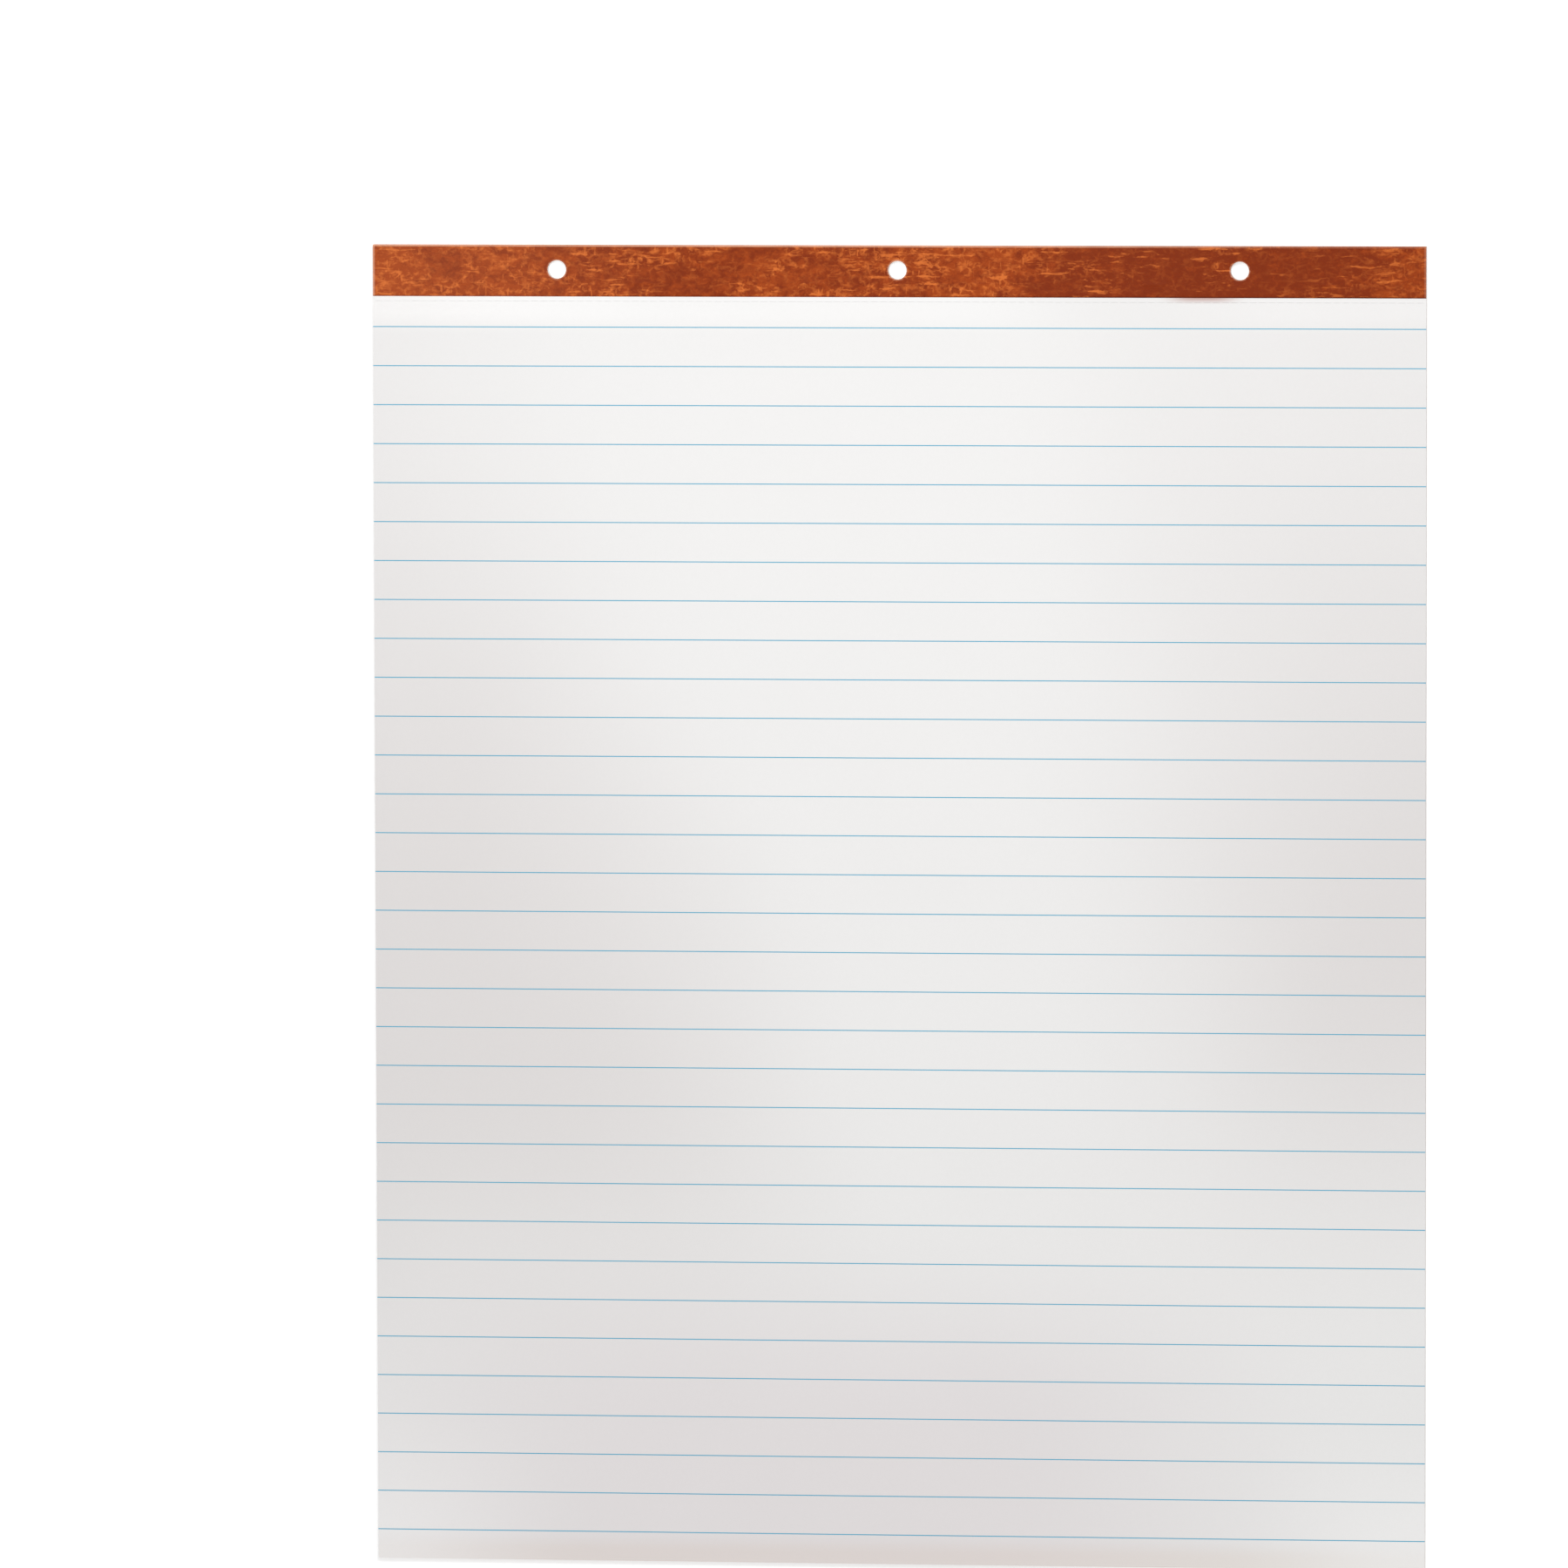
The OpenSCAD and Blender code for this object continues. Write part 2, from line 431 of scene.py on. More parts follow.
def ink_finish():
    """Pale ruling ink, a little uneven along each line."""
    finish = Finish("ruling_ink")
    uneven = finish.noise(finish.stretched(90, 3000, 90), detail=3)
    soak = finish.noise(finish.stretched(1800, 1800, 1800), detail=2)
    shade = 1 + (uneven - 0.5) * 0.12 + (soak - 0.5) * 0.08
    return finish.surface(
        Base_Color=finish.tint(tuple(settings().ruling.colour), shade),
        Roughness=0.78 + (soak - 0.5) * 0.1,
        Specular_IOR_Level=0.3)


def leatherette_finish():
    """Mottled leatherette paper: dark mottles, and orange flecks and veins that gather in patches and at
    both ends. Its ends and the rims of its holes are worn pale, a highlight is painted along its fold,
    and light is painted towards its left end."""
    strip = settings().strip
    finish = Finish("leatherette")
    x, y, z = (finish.axis(finish.place, letter) for letter in "XYZ")
    normal = finish.node("ShaderNodeNewGeometry", output="Normal")
    ragged = finish.noise(finish.stretched(170, 210, 210), detail=3, output="Color")
    tone = finish.noise(finish.stretched(7, 4, 4, seed=136.9), detail=1)
    patch = finish.noise(finish.stretched(30, 46, 46, seed=181.3), detail=3, roughness=0.6)
    inset = HALF_WIDTH - abs(x)
    ends = (1 - inset.ease(0.02, 0.05)) * (0.53 - x * 0.42)
    gather = (patch * 1.3 + tone * 0.8 - 1.03).ease(-0.14, 0.2).at_least(ends)

    mottle = finish.noise(
        finish.moved(finish.stretched(130, 190, 190), ragged, 1.2), detail=4, roughness=0.65)
    blobs = finish.noise(
        finish.moved(finish.stretched(190, 280, 280), ragged, 1.0), detail=3, roughness=0.6)
    crackle = finish.cells(finish.moved(finish.stretched(150, 200, 200), ragged, 1.5), "DISTANCE_TO_EDGE")
    broken = finish.noise(finish.stretched(120, 160, 160, seed=9.0), detail=2)
    grain = finish.noise(finish.stretched(700, 900, 900), detail=3, roughness=0.65)
    streaks = finish.noise(finish.moved(finish.stretched(60, 420, 420, seed=3.0), ragged, 0.8), detail=3)
    slivers = finish.noise(finish.moved(finish.stretched(420, 110, 110, seed=11.0), ragged, 0.8), detail=3)

    fleck = blobs.ease(0.5, 0.72) * (0.1 + 0.9 * gather)
    vein = (1 - crackle.ease(0.0, 0.2)) * broken.ease(0.45, 0.62) * (0.2 + 0.8 * gather)
    shred = streaks.ease(0.57, 0.68) * patch.ease(0.4, 0.55).at_least(x.ease(0.24, 0.3) * 0.8)
    shred = shred.at_least(slivers.ease(0.6, 0.7) * gather * 0.8)
    darkness = (1.02 - mottle - tone * 0.7 - patch * 0.2 - ends * 0.15).ease(-0.12, 0.22)
    brightness = fleck * 0.8 + vein * 0.65 + shred * 0.8
    colour = finish.blend(darkness * 0.9, tuple(strip.base), tuple(strip.dark))
    colour = finish.blend(brightness.at_most(1), colour, tuple(strip.light))

    # Pale wear on the ends and hole rims, a painted highlight along the fold, painted light towards the
    # left end, and a free edge that is darker to the right
    patchy = finish.noise(finish.stretched(45, 900, 400), detail=3)
    # Painted light towards the left end
    painted_light_left = 1 - (x + HALF_WIDTH).ease(0.04, 0.24)
    # Painted highlight along the fold's outer corner, stronger at the left
    corner = abs(z - TOP_Z / 2).ease(0.0021, 0.0027) * y.ease(HEAD_Y - 0.0012, HEAD_Y - 0.0003)
    fold = corner * (patchy + 0.4) * (1 - x.ease(0.05, 0.3) * 0.7)
    tip = (1 - inset.ease(0.0005, 0.0017)) * (0.5 + 0.4 * patchy) * (1 - x.ease(0, 0.3) * 0.6)
    across = x.math("PINGPONG", x, HOLE_PITCH / 2)
    along = y - HOLE_CENTRES[0].y
    reach = (across * across + along * along) ** 0.5
    rim = (1 - (reach - patchy * 0.0016).ease(HOLE_RADIUS - 0.0007, HOLE_RADIUS + 0.0003)) * (0.1 + 0.7 * patchy)
    darker_free_edge = (1 - (y - STRIP_Y).ease(0.0004, 0.0011)) * (0.25 + 0.3 * x.ease(-0.1, 0.25))
    painted_light_colour = linear(206, 120, 86)
    colour = finish.blend(painted_light_left * 0.1, colour, painted_light_colour)
    colour = finish.blend((fold + tip + rim).at_most(1), colour, tuple(strip.wear_and_highlight))
    colour = finish.tint(colour, (1 + (grain - 0.5) * 0.35) * (1 - darker_free_edge))

    # The core of the strip shows on its cut edges, and not on the fold
    upright = 1 - abs(finish.axis(normal, "Z")).ease(0.2, 0.5)
    sideways = abs(finish.axis(normal, "X")).ease(0.5, 0.8)
    cut = (upright * (1 - y.ease(HEAD_Y - 0.0012, HEAD_Y - 0.0008))).at_least(sideways)
    colour = finish.blend(cut, colour, finish.tint(tuple(strip.core), 0.8 + 0.4 * grain))

    pores = finish.cells(finish.stretched(1100, 1500, 1500), "DISTANCE_TO_EDGE")
    crease = finish.noise(finish.stretched(420, 900, 900), detail=3)
    relief = pores.ease(0.0, 0.25) * 0.5 + crease
    return finish.surface(
        Base_Color=colour,
        Roughness=0.46 + (grain - 0.5) * 0.16,
        Specular_IOR_Level=0.1,
        Normal=finish.bump(relief, distance=0.00009, strength=0.45))


def chipboard_finish():
    """Grey-brown chipboard: pressed fibres along its length, dark and light flecks, and layered edges."""
    board = settings().board
    finish = Finish("chipboard")
    fibre = finish.noise(finish.stretched(190, 60, 190), detail=5, roughness=0.7)
    hairs = finish.noise(finish.stretched(2200, 260, 2200), detail=2, distortion=0.6)
    cloud = finish.noise(finish.stretched(26, 15, 26), detail=4, roughness=0.6)
    ragged = finish.noise(finish.stretched(90, 90, 90), output="Color")
    size = finish.cells(finish.moved(finish.stretched(260, 170, 260), ragged, 1.2))
    which = finish.noise(finish.stretched(120, 90, 120), detail=2)
    fleck = (1 - size.ease(0.08, 0.28)) * which.ease(0.46, 0.6)
    pale = (1 - size.ease(0.08, 0.26)) * (1 - which.ease(0.38, 0.5))

    shade = 1 + (fibre - 0.5) * 0.24 + (cloud - 0.5) * 0.24 + (hairs - 0.5) * 0.22
    colour = finish.tint(tuple(board.base), shade)
    colour = finish.blend(fleck * 0.6, colour, tuple(board.fleck))
    pale_fibre = linear(214, 204, 188)
    colour = finish.blend(pale * 0.45, colour, pale_fibre)
    return finish.surface(
        Base_Color=colour,
        Roughness=0.86 + (fibre - 0.5) * 0.12,
        Specular_IOR_Level=0.3,
        Normal=finish.bump(fibre, distance=0.0001, strength=0.5))


def wire_finish():
    """Drawn steel stitching wire, with fine lines along it."""
    finish = Finish("stitching_wire")
    drawn = finish.noise(finish.stretched(300, 9000, 9000), detail=2)
    return finish.surface(
        Base_Color=tuple(settings().board.wire),
        Metallic=1.0,
        Roughness=0.3 + drawn * 0.15)


# Flat sheets with cuts, and solids made from them


def steps(start, end, size):
    """Evenly spaced values from start to end, no farther apart than size."""
    count = max(1, math.ceil((end - start) / size - TOUCH))
    return [start + (end - start) * i / count for i in range(count + 1)]


def circle(centre, radius, count=48):
    return [centre + radius * Vector((math.cos(math.tau * i / count), math.sin(math.tau * i / count)))
            for i in range(count)]


def slit(centre, length, width):
    corners = ((-1, -1), (1, -1), (1, 1), (-1, 1))
    return [centre + Vector((side * length / 2, end * width / 2)) for side, end in corners]


class FlatSheet:
    """A rectangle with cuts in it, triangulated: points, triangles and the edges along every rim."""

    def __init__(self, xs, ys, cuts=(), details=(), creases=()):
        low, high = Vector((xs[0], ys[0])), Vector((xs[-1], ys[-1]))
        outline = [Vector((x, low.y)) for x in xs[:-1]] + [Vector((high.x, y)) for y in ys[:-1]]
        outline += [Vector((x, high.y)) for x in xs[:0:-1]] + [Vector((low.x, y)) for y in ys[:0:-1]]
        points, faces = list(outline), [list(range(len(outline)))]
        for loop in cuts:
            faces.append(list(range(len(points), len(points) + len(loop))))
            points += loop
        kept_clear = [self.reach(loop) for loop in cuts]
        for x in xs[1:-1]:
            for y in ys[1:-1]:
                if not any(box[0] < x < box[1] and box[2] < y < box[3] for box in kept_clear):
                    points.append(Vector((x, y)))
        points += details
        edges = []
        for y in creases:
            row = sorted((point.x, i) for i, point in enumerate(points) if abs(point.y - y) < TOUCH)
            edges += [(first[1], second[1]) for first, second in zip(row, row[1:])]
        made = delaunay_2d_cdt(points, edges, faces, 1, TOUCH / 10, True)
        self.points = made[0]
        self.triangles = [
            self.anticlockwise(face) for face, source in zip(made[2], made[5]) if max(source) == 0]
        sides = {(a, b) for face in self.triangles for a, b in zip(face, face[1:] + face[:1])}
        self.rim = [(a, b) for a, b in sorted(sides) if (b, a) not in sides]

    @staticmethod
    def reach(loop, margin=0.0015):
        """The box round a cut that the plain grid keeps out of."""
        xs, ys = [point.x for point in loop], [point.y for point in loop]
        return min(xs) - margin, max(xs) + margin, min(ys) - margin, max(ys) + margin

    def anticlockwise(self, face):
        a, b, c = (self.points[i] for i in face)
        turn = (b - a).cross(c - a)
        return list(face) if turn > 0 else list(face[::-1])

    def solid(self, name, levels, plain=lambda point: False):
        """A closed solid. Each level places a point in space, from the top face to the bottom one,
        and a rim passes through all of them, or where plain is true from the first to the last.
        Where two levels meet, they share their vertices."""
        stepped = sorted({i for edge in self.rim for i in edge if not plain(self.points[i])})
        placed, vertices, faces = [], [], []
        for number, level in enumerate(levels):
            used = range(len(self.points)) if number in (0, len(levels) - 1) else stepped
            ring = {}
            for i in used:
                place, above = Vector(level(self.points[i])), placed[-1].get(i) if placed else None
                if above is None or (place - vertices[above]).length > TOUCH:
                    above = len(vertices)
                    vertices.append(place)
                ring[i] = above
            placed.append(ring)
        top, bottom = placed[0], placed[-1]
        faces += [[top[i] for i in face] for face in self.triangles]
        faces += [[bottom[i] for i in reversed(face)] for face in self.triangles]
        for a, b in self.rim:
            rings = [top, bottom] if plain(self.points[a]) else placed
            for upper, lower in zip(rings, rings[1:]):
                face = list(dict.fromkeys((upper[a], lower[a], lower[b], upper[b])))
                if len(face) > 2:
                    faces.append(face)
        return new_piece(name, vertices, faces)


def new_piece(name, vertices, faces):
    """An object in the pad's frame, shaded smooth but for its sharp edges."""
    mesh = bpy.data.meshes.new(name)
    mesh.from_pydata(vertices, [], faces)
    mesh.shade_smooth()
    mesh.set_sharp_from_angle(angle=math.radians(40))
    mesh.update()
    piece = bpy.data.objects.new(name, mesh)
    bpy.context.collection.objects.link(piece)
    return piece


def dress(piece, material, slot_name, *nodes):
    """Gives a new piece its material and body, and hides the imported nodes that it stands for; its slot
    name is not used.
    """
    piece.data.materials.append(material)
    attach(piece, BODY)
    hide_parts(*nodes)


# The form of the sheets


def smooth_step(value):
    value = min(1, max(0, value))
    return value * value * (3 - 2 * value)


def wander(number):
    """How far a sheet lies back from the trim, from 0 to 1. The top one, number 0, is flush."""
    return abs(math.sin(math.radians(137.5) * number))


def rise(x, y):
    """How far the block's upper face stands off its flat height: slow waves in the open sheet,
    none under the strip, and a trimmed foot and sides that are pressed down."""
    paper = settings().paper
    free = smooth_step((STRIP_Y - HELD_FLAT - y) / COMES_FREE)
    waves = sum(
        share * math.sin(math.tau * (x * way[0] + y * way[1]) / length + phase)
        for share, way, length, phase in SLOW_WAVES)
    foot = smooth_step(1 - (y - FOOT_Y) / FOOT_REACH)
    side = smooth_step(1 - (HALF_WIDTH - abs(x)) / SIDE_REACH)
    open_sheet = paper.swell * waves * (1 - foot) - 0.25 * paper.foot_drop * side
    return free * open_sheet - paper.foot_drop * foot


def curl(x, y):
    """How far the top sheet alone stands off the block at its foot corners."""
    paper = settings().paper
    left = smooth_step(1 - math.hypot(x + HALF_WIDTH, y - FOOT_Y) / LEFT_CURL)
    right = smooth_step(1 - math.hypot(x - HALF_WIDTH, y - FOOT_Y) / RIGHT_CURL)
    return paper.corner_lift * (left + 0.5 * right)


def ripple(x, y):
    """How far the top sheet alone stands off the block in slanting ripples by the strip's left end.
    They fade out towards all four sides of their place."""
    inward = smooth_step((PUCKER_WIDTH - HALF_WIDTH - x) / 0.05) * smooth_step((x + HALF_WIDTH) / 0.008)
    below = smooth_step((STRIP_Y - y) / 0.004) * smooth_step((y - STRIP_Y + PUCKER_LENGTH) / 0.01)
    phase = PUCKER_ALONG * y - PUCKER_ACROSS * x + 1.5 * math.sin(60 * x)
    return settings().paper.pucker * inward * below * (0.5 + 0.5 * math.sin(phase))


def sheet_place(point, number, level):
    """Where a point of a sheet lies. Level counts the sheets between the face and that height."""
    paper = settings().paper
    x, y = point
    share = 1 - level / paper.sheet_count
    z = BLOCK_Z + share * (FACE_Z - BLOCK_Z + rise(x, y))
    if y < FOOT_Y + TOUCH:
        y += paper.foot_stagger * wander(number) * (1 + 0.12 * math.sin(9 * x + number))
    if HALF_WIDTH - abs(x) < TOUCH and y < HEAD_Y - TOUCH:
        x -= math.copysign(paper.side_stagger * wander(2 * number), x)
    return x, y, z


def top_sheet_height(x, y):
    """Height of the top sheet's upper face."""
    flat = FACE_Z + rise(x, y) + curl(x, y) + ripple(x, y)
    return min(flat, FACE_Z + 0.9 * STRIP_THICKNESS)


def tear_cuts():
    """The cuts of the tear line, at even distances about the centre."""
    paper = settings().paper
    pitch = paper.tear_cut + paper.tear_tie
    count = math.floor((2 * HALF_WIDTH - paper.tear_tie) / pitch + TOUCH)
    y = STRIP_Y - paper.tear_gap
    centres = [Vector(((i - (count - 1) / 2) * pitch, y)) for i in range(count)]
    return [slit(centre, paper.tear_cut, paper.tear_width) for centre in centres]


def sheet_flat():
    """One sheet laid flat, with its hanging holes and its tear line. Its points lie closer together
    near its sides and its foot, and closest where it is puckered."""
    border = 0.030
    xs = steps(-HALF_WIDTH, border - HALF_WIDTH, FINE)[:-1]
    xs += steps(border - HALF_WIDTH, HALF_WIDTH - border, COARSE)
    xs += steps(HALF_WIDTH - border, HALF_WIDTH, FINE)[1:]
    pressed_to, fine_to = FOOT_Y + FOOT_REACH, FOOT_Y + 0.042
    ys = steps(FOOT_Y, pressed_to, FINE / 2)[:-1] + steps(pressed_to, fine_to, FINE)[:-1]
    ys += steps(fine_to, HEAD_Y, COARSE)

    holes = [circle(centre, HOLE_RADIUS) for centre in HOLE_CENTRES]
    tear_y = STRIP_Y - settings().paper.tear_gap
    row_gap, column_gap, clear_of_cuts = 0.0011, 0.0015, 0.0006
    rows = steps(STRIP_Y - PUCKER_LENGTH, tear_y - clear_of_cuts, row_gap)
    rows += steps(tear_y + clear_of_cuts, STRIP_Y, row_gap)
    columns = steps(0.001 - HALF_WIDTH, PUCKER_WIDTH - HALF_WIDTH, column_gap)
    puckered = [Vector((x, y)) for x in columns for y in rows]
    return FlatSheet(xs, ys, cuts=holes + tear_cuts(), details=puckered)


def on_tear_line(point):
    paper = settings().paper
    return abs(point.y - STRIP_Y + paper.tear_gap) < paper.tear_width


class EASELPAD_OT_sheet_block(bpy.types.Operator):
    """Build the sheets below the top one, each with its own free edge"""

    bl_idname = "easelpad.sheet_block"
    bl_label = "Sheet block"

    def execute(self, context):
        levels = []
        for number in range(1, settings().paper.sheet_count):
            for level in (number, number + 1):
                levels.append(lambda point, number=number, level=level: sheet_place(point, number, level))
        block = sheet_flat().solid("sheet_block", levels, plain=on_tear_line)
        dress(block, paper_finish(), "paper", "sheets")
        return {"FINISHED"}


class EASELPAD_OT_top_sheet(bpy.types.Operator):
    """Build the top sheet, which swells and curls a little by itself"""

    bl_idname = "easelpad.top_sheet"
    bl_label = "Top sheet"

    def execute(self, context):
        # The rest of a sheet's share of the block is the air under it
        thickness = 0.8 * (FACE_Z - BLOCK_Z) / settings().paper.sheet_count

        def upper(point):
            return point.x, point.y, top_sheet_height(*point)

        def under(point):
            return point.x, point.y, top_sheet_height(*point) - thickness

        top = sheet_flat().solid("top_sheet", [upper, under])
        dress(top, bpy.data.materials["bond_paper"], "paper", "sheets")
        return {"FINISHED"}


class EASELPAD_OT_ruled_lines(bpy.types.Operator):
    """Print the ruled lines on the top sheet"""

    bl_idname = "easelpad.ruled_lines"
    bl_label = "Ruled lines"

    def execute(self, context):
        ruling = settings().ruling
        first, last = RULES_HIGH.y - ruling.width / 2, RULES_LOW.y + ruling.width / 2
        pitch = (first - last) / (ruling.count - 1)
        xs = steps(RULES_LOW.x, RULES_HIGH.x, FINE)
        section = ((-1, 1), (-1, -1), (1, -1), (1, 1))
        sides = ((0, 1), (1, 2), (2, 3), (3, 0))
        vertices, faces = [], []
        for line in range(ruling.count):
            y, start = first - line * pitch, len(vertices)
            for x in xs:
                for side, up in section:
                    edge = y + side * ruling.width / 2
                    vertices.append((x, edge, top_sheet_height(x, edge) + up * ruling.height))
            for i in range(len(xs) - 1):
                ring, ahead = start + 4 * i, start + 4 * i + 4
                faces += [[ring + a, ring + b, ahead + b, ahead + a] for a, b in sides]
            faces += [[start + 3, start + 2, start + 1, start], [ahead, ahead + 1, ahead + 2, ahead + 3]]
        lines = new_piece("ruled_lines_print", vertices, faces)
        dress(lines, ink_finish(), "line_ink", "ruled_lines")
        return {"FINISHED"}


# The form of the binding strip


class Fold:
    """The strip's way round the head. A point is (x, s): s runs from the front flap's free edge,
    over the fold and down to the back flap's free edge."""

    inner_radius = 0.00005

    def __init__(self):
        self.spine = HEAD_Y - self.inner_radius
        self.front = self.spine - STRIP_Y
        self.turn = math.pi / 2 * (self.inner_radius + STRIP_THICKNESS / 2)
        self.rise = FACE_Z - STRIP_THICKNESS - 2 * self.inner_radius
        self.back = self.spine - (STRIP_HIGH.y - settings().strip.back_width)
        self.ends = [self.front, self.front + self.turn]
        self.ends += [self.ends[1] + self.rise, self.ends[1] + self.rise + self.turn]
        self.length = self.ends[3] + self.back

    def flap_y(self, s):
        """Distance along the pad of a point on a flap, and which flap: 1 front, -1 back, 0 neither."""
        if s <= self.ends[0]:
            return STRIP_Y + s, 1
        if s >= self.ends[3]:
            return self.spine - (s - self.ends[3]), -1
        return self.spine, 0

    def place(self, x, s, depth):
        """A point on the strip, at a depth under its outer face."""
        radius = self.inner_radius + STRIP_THICKNESS - depth
        upper, lower = FACE_Z - self.inner_radius, STRIP_THICKNESS + self.inner_radius
        y, flap = self.flap_y(s)
        if flap > 0:
            return x, y, upper + radius
        if flap < 0:
            return x, y, lower - radius
        if s < self.ends[1]:
            angle = math.pi / 2 * (s - self.ends[0]) / self.turn
            return x, y + radius * math.sin(angle), upper + radius * math.cos(angle)
        if s < self.ends[2]:
            return x, y + radius, upper - (s - self.ends[1])
        angle = math.pi / 2 * (s - self.ends[2]) / self.turn
        return x, y + radius * math.cos(angle), lower - radius * math.sin(angle)

    def hole_places(self):
        """The centres of the hanging holes on both flaps, in the strip's own (x, s)."""
        for centre in HOLE_CENTRES:
            yield Vector((centre.x, centre.y - STRIP_Y))
            yield Vector((centre.x, self.ends[3] + self.spine - centre.y))

    def stitch_places(self):
        """The middles of the stitches under both flaps, in the strip's own (x, s)."""
        count = settings().strip.stitch_count
        for i in range(count):
            x = (i - (count - 1) / 2) * HOLE_PITCH / 2
            yield Vector((x, STITCH_Y - STRIP_Y))
            yield Vector((x, self.ends[3] + self.spine - STITCH_Y))


def stitch_bump(point, stitches):
    """1 over a stitch, easing to 0 round it."""
    half = settings().strip.stitch_length / 2
    best = 0
    for middle in stitches:
        along = max(0, abs(point.x - middle.x) - half)
        away = math.hypot(along, point.y - middle.y)
        best = max(best, smooth_step(1 - away / STITCH_REACH))
    return best


def pressed_rim(point, holes, length):
    """How deep the outer face lies at cut edges, which the punch and the knife press down."""
    nearest = min((point - centre).length - HOLE_RADIUS for centre in holes)
    nearest = min(nearest, point.y, length - point.y)
    return RIM_DEPTH * smooth_step(1 - nearest / RIM_INSETS[-1])


class EASELPAD_OT_binding_strip(bpy.types.Operator):
    """Fold the leatherette strip over the head, punch it, and let the stitches show through a little"""

    bl_idname = "easelpad.binding_strip"
    bl_label = "Binding strip"

    def execute(self, context):
        strip = settings().strip
        fold = Fold()
        holes, stitches = list(fold.hole_places()), list(fold.stitch_places())
        xs = steps(-HALF_WIDTH, HALF_WIDTH, STRIP_STEP)
        clear_of_rim, clear_of_fold = 0.003, 0.002
        rows = [*RIM_INSETS, *steps(clear_of_rim, fold.ends[0] - clear_of_fold, FINE)]
        turns = []
        for start, end, count in ((0, 1, 6), (1, 2, 3), (2, 3, 6)):
            span = fold.ends[end] - fold.ends[start]
            turns += [fold.ends[start] + span * i / count for i in range(count)]
        turns.append(fold.ends[3])
        rows += turns + steps(fold.ends[3] + clear_of_fold, fold.length - clear_of_rim, FINE)
        rows += [fold.length - inset for inset in reversed(RIM_INSETS)]

        details = []
        for centre in holes:
            for inset in RIM_INSETS[1:]:
                details += circle(centre, HOLE_RADIUS + inset)
        offsets = (-0.0016, -0.0009, -0.0004, 0.0, 0.0004, 0.0009, 0.0016)  # rows along a stitch
        half, spacing = strip.stitch_length / 2 + offsets[-1], 0.0009
        for middle in stitches:
            for y in offsets:
                details += [middle + Vector((x, y)) for x in steps(-half, half, spacing)]
        punched = [circle(centre, HOLE_RADIUS) for centre in holes]
        flat = FlatSheet(xs, rows, cuts=punched, details=details, creases=turns[:-1])

        def outer(point):
            sunk = strip.bump * (1 - stitch_bump(point, stitches)) + pressed_rim(point, holes, fold.length)
            return fold.place(point.x, point.y, sunk)

        def inner(point):
            return fold.place(point.x, point.y, STRIP_THICKNESS)

        piece = flat.solid("leatherette_strip", [outer, inner])
        dress(piece, leatherette_finish(), "leatherette", "binding_strip")
        return {"FINISHED"}


class EASELPAD_OT_backboard(bpy.types.Operator):
    """Give the backboard its chipboard finish"""

    bl_idname = "easelpad.backboard"
    bl_label = "Backboard"

    def execute(self, context):
        refinish("backboard", chipboard_finish())
        return {"FINISHED"}


class EASELPAD_OT_stitches(bpy.types.Operator):
    """Give the stitches their steel finish"""

    bl_idname = "easelpad.stitches"
    bl_label = "Stitches"

    def execute(self, context):
        refinish("stitches", wire_finish())
        return {"FINISHED"}


def refinish(node, material):
    """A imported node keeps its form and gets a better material."""
    slots = frame["nodes"][node].material_slots
    if not slots:
        raise RuntimeError(f"{node} has no material slot")
    for material_slot in slots:
        material_slot.material = material


# The stage


def camera_turn(back, roll):
    """The turn of a camera that looks against back, with the pad's head up in the picture."""
    right = Vector((0, 1, 0)).cross(back).normalized()
    up = back.cross(right)
    upright = Matrix((right, up, back)).transposed()
    return (Matrix.Rotation(-roll, 3, back) @ upright).to_quaternion()


def add_camera(stage):
    back = Vector((math.tan(stage.lean_right), math.tan(stage.lean_head), 1)).normalized()
    camera = bpy.data.cameras.new("camera")
    camera.sensor_width = 36
    camera.lens = stage.lens
    camera.clip_start = 0.1
    camera.clip_end = 100
    holder = bpy.data.objects.new("camera", camera)
    holder.rotation_mode = "QUATERNION"
    holder.location = Vector(stage.aim) + back * stage.distance
    holder.rotation_quaternion = camera_turn(back, stage.roll)
    bpy.context.collection.objects.link(holder)
    bpy.context.scene.camera = holder


def add_lamp(name, place, target, size, power):
    lamp = bpy.data.lights.new(name, "AREA")
    lamp.shape = "DISK"
    lamp.size = size
    lamp.energy = power
    holder = bpy.data.objects.new(name, lamp)
    holder.location = place
    holder.rotation_mode = "QUATERNION"
    holder.rotation_quaternion = (Vector(target) - Vector(place)).to_track_quat("-Z", "Y")
    bpy.context.collection.objects.link(holder)


def floor_finish():
    """A pale floor that the camera sees as white where no shadow falls on it."""
    finish = Finish("floor")
    matt = finish.node("ShaderNodeBsdfDiffuse", None, {"Color": (0.8, 0.8, 0.8)})
    glow = finish.node("ShaderNodeEmission", None, {"Strength": finish.seen() * 0.48})
    return finish.close(finish.node("ShaderNodeAddShader", None, {0: matt, 1: glow}))


def light_room(strength):
    """Even light all round, which the camera sees as plain white."""
    finish = Finish("room", "worlds")
    level = strength + finish.seen() * (1 - strength)
    finish.close(finish.node("ShaderNodeBackground", None, {"Color": (1, 1, 1), "Strength": level}))
    bpy.context.scene.world = finish.material


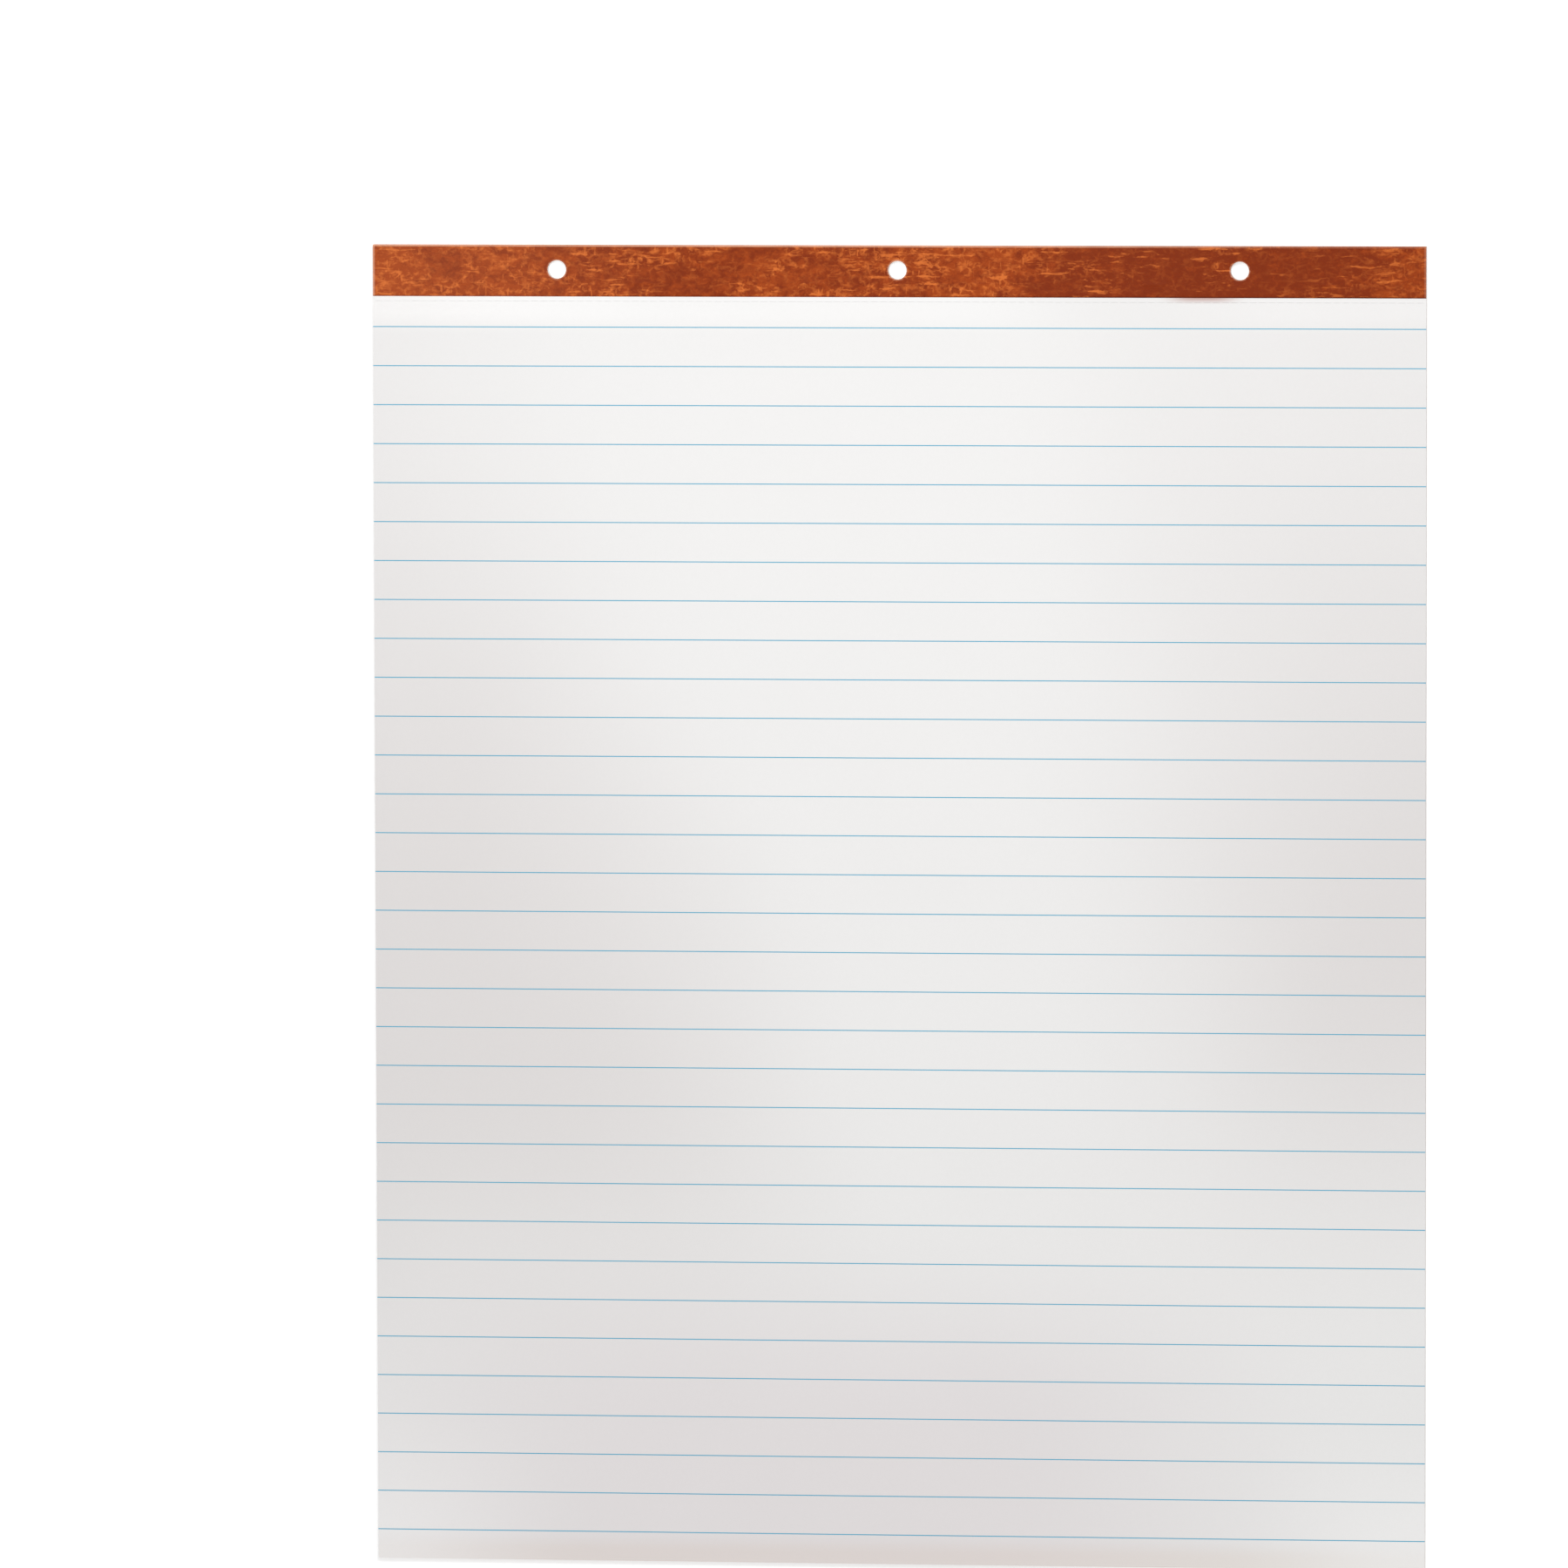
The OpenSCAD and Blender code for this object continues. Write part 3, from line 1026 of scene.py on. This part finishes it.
class EASELPAD_OT_stage(bpy.types.Operator):
    """Set the floor, the lamps, the room light and the camera"""

    bl_idname = "easelpad.stage"
    bl_label = "Stage"

    def execute(self, context):
        stage = settings().stage
        reach = 20
        corners = [(-reach, -reach, 0), (reach, -reach, 0), (reach, reach, 0), (-reach, reach, 0)]
        floor = new_piece("floor", corners, [[0, 1, 2, 3]])
        floor.data.materials.append(floor_finish())
        middle = (0, 0, 0)
        upper_half = (0, 0.15, 0)
        add_lamp("key_lamp", (2.2, 3.2, 5.5), middle, size=2.4, power=stage.key_power)
        add_lamp("head_lamp", (-0.14, 0.62, 1.2), upper_half, size=0.8, power=stage.head_power)
        add_lamp("foot_lamp", (-0.8, -4.5, 1.6), middle, size=2.0, power=stage.foot_power)
        light_room(stage.sky)
        add_camera(stage)
        context.scene.view_settings.view_transform = "Standard"
        return {"FINISHED"}


class EASELPAD_PT_sidebar(bpy.types.Panel):
    bl_idname = "EASELPAD_PT_sidebar"
    bl_label = "Easel pad"
    bl_space_type = "VIEW_3D"
    bl_region_type = "UI"
    bl_category = "Easel pad"

    def draw(self, context):
        for group in ("paper", "ruling", "strip", "board", "stage"):
            box = self.layout.box()
            box.label(text=group.capitalize())
            owner = getattr(context.scene.easel_pad, group)
            for name in owner.__annotations__:
                box.prop(owner, name)
        for operator in OPERATORS:
            self.layout.operator(operator.bl_idname)


SETTINGS = (PaperSettings, RulingSettings, StripSettings, BoardSettings, StageSettings, EaselPadSettings)
OPERATORS = (
    EASELPAD_OT_sheet_block,
    EASELPAD_OT_top_sheet,
    EASELPAD_OT_ruled_lines,
    EASELPAD_OT_binding_strip,
    EASELPAD_OT_backboard,
    EASELPAD_OT_stitches,
    EASELPAD_OT_stage,
)


def register():
    for part in (*SETTINGS, *OPERATORS, EASELPAD_PT_sidebar):
        bpy.utils.register_class(part)
    bpy.types.Scene.easel_pad = PointerProperty(type=EaselPadSettings)


def unregister():
    del bpy.types.Scene.easel_pad
    for part in reversed((*SETTINGS, *OPERATORS, EASELPAD_PT_sidebar)):
        bpy.utils.unregister_class(part)


def main():
    register()
    bpy.ops.easelpad.sheet_block()
    bpy.ops.easelpad.top_sheet()
    bpy.ops.easelpad.ruled_lines()
    bpy.ops.easelpad.binding_strip()
    bpy.ops.easelpad.backboard()
    bpy.ops.easelpad.stitches()
    bpy.ops.easelpad.stage()


if __name__ == "__main__":
    main()
